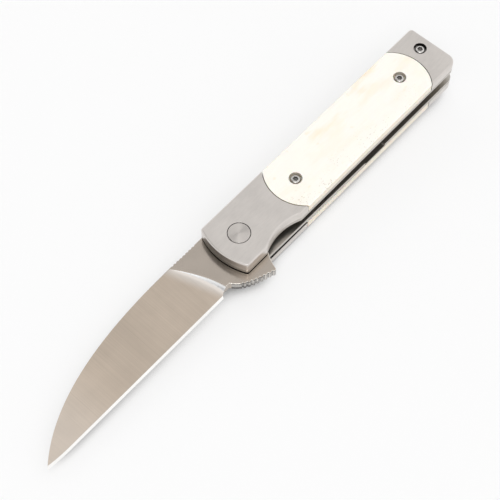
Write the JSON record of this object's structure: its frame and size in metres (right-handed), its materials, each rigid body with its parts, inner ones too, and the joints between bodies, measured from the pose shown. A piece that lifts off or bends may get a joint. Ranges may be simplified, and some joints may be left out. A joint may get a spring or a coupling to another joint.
{
  "type": "folding pocket knife",
  "caption": "Flipper folding knife with a full flat ground blade, steel bolsters and liners, smooth bone scales, a liner lock and a pocket clip.",
  "frame": {"origin": "middle of the box round the open knife, on the plane of the pocket clip's crest, which is its lowest face", "axes": "+X from the blade's tip towards the butt, +Y from the cutting edge towards the spine, +Z from the back of the handle towards its show side"},
  "size_m": [0.1816, 0.024, 0.0159],
  "materials": {
    "blade_steel": "satin, brushed across the blade",
    "satin_steel": "fine satin",
    "liner_steel": "satin",
    "screw_steel": "polished",
    "dark_steel": "plain",
    "bone": "smooth polished bone",
    "bearing_brass": "plain"
  },
  "bodies": {
    "handle": {"show_front_bolster": "satin_steel", "show_rear_bolster": "satin_steel", "show_bone_scale": "bone", "show_liner": "liner_steel", "show_scale_screw_front": "screw_steel", "show_scale_screw_rear": "screw_steel", "show_front_bolster_screw_1": "dark_steel", "show_front_bolster_screw_2": "dark_steel", "show_rear_bolster_screw": "dark_steel", "show_spacer_screw": "dark_steel", "back_front_bolster": "satin_steel", "back_rear_bolster": "satin_steel", "back_bone_scale": "bone", "back_liner": "liner_steel", "back_scale_screw_front": "screw_steel", "back_scale_screw_rear": "screw_steel", "back_front_bolster_screw_1": "dark_steel", "back_front_bolster_screw_2": "dark_steel", "back_rear_bolster_screw": "dark_steel", "back_spacer_screw": "dark_steel", "butt_screw": "screw_steel", "clip_screw_1": "screw_steel", "clip_screw_2": "screw_steel", "backspacer": "liner_steel", "stop_pin": "screw_steel", "pivot_barrel": "satin_steel", "pivot_screw": "satin_steel", "pocket_clip": "satin_steel"},
    "blade": {"blade": "blade_steel"},
    "lock_bar": {"lock_bar": "liner_steel", "detent_ball": "screw_steel"},
    "show_bearing": {"show_bearing": "bearing_brass"},
    "back_bearing": {"back_bearing": "bearing_brass"}
  },
  "joints": [
    {"name": "blade_pivot", "type": "hinge", "parent": "handle", "child": "blade", "pos_m": [-0.0024, 0.0026, 0.0094], "axis": [0, 0, 1], "range_deg": [0, 174.5], "deforming": ["lock_bar", "detent_ball"]},
    {"name": "lock_bar_bend", "type": "hinge", "parent": "handle", "child": "lock_bar", "pos_m": [0.05065, 0.0026, 0.00635], "axis": [0, -1, 0], "range_deg": [0, 1.89]},
    {"name": "show_bearing_turn", "type": "hinge", "parent": "handle", "child": "show_bearing", "pos_m": [-0.0024, 0.0026, 0.01117], "axis": [0, 0, 1], "range_deg": [0, 87.25]},
    {"name": "back_bearing_turn", "type": "hinge", "parent": "handle", "child": "back_bearing", "pos_m": [-0.0024, 0.0026, 0.00762], "axis": [0, 0, 1], "range_deg": [0, 87.25]}
  ],
  "couplings": [
    {"joint": "lock_bar_bend", "follows": "blade_pivot", "ratio": 0.01085},
    {"joint": "show_bearing_turn", "follows": "blade_pivot", "ratio": 0.5},
    {"joint": "back_bearing_turn", "follows": "blade_pivot", "ratio": 0.5}
  ]
}
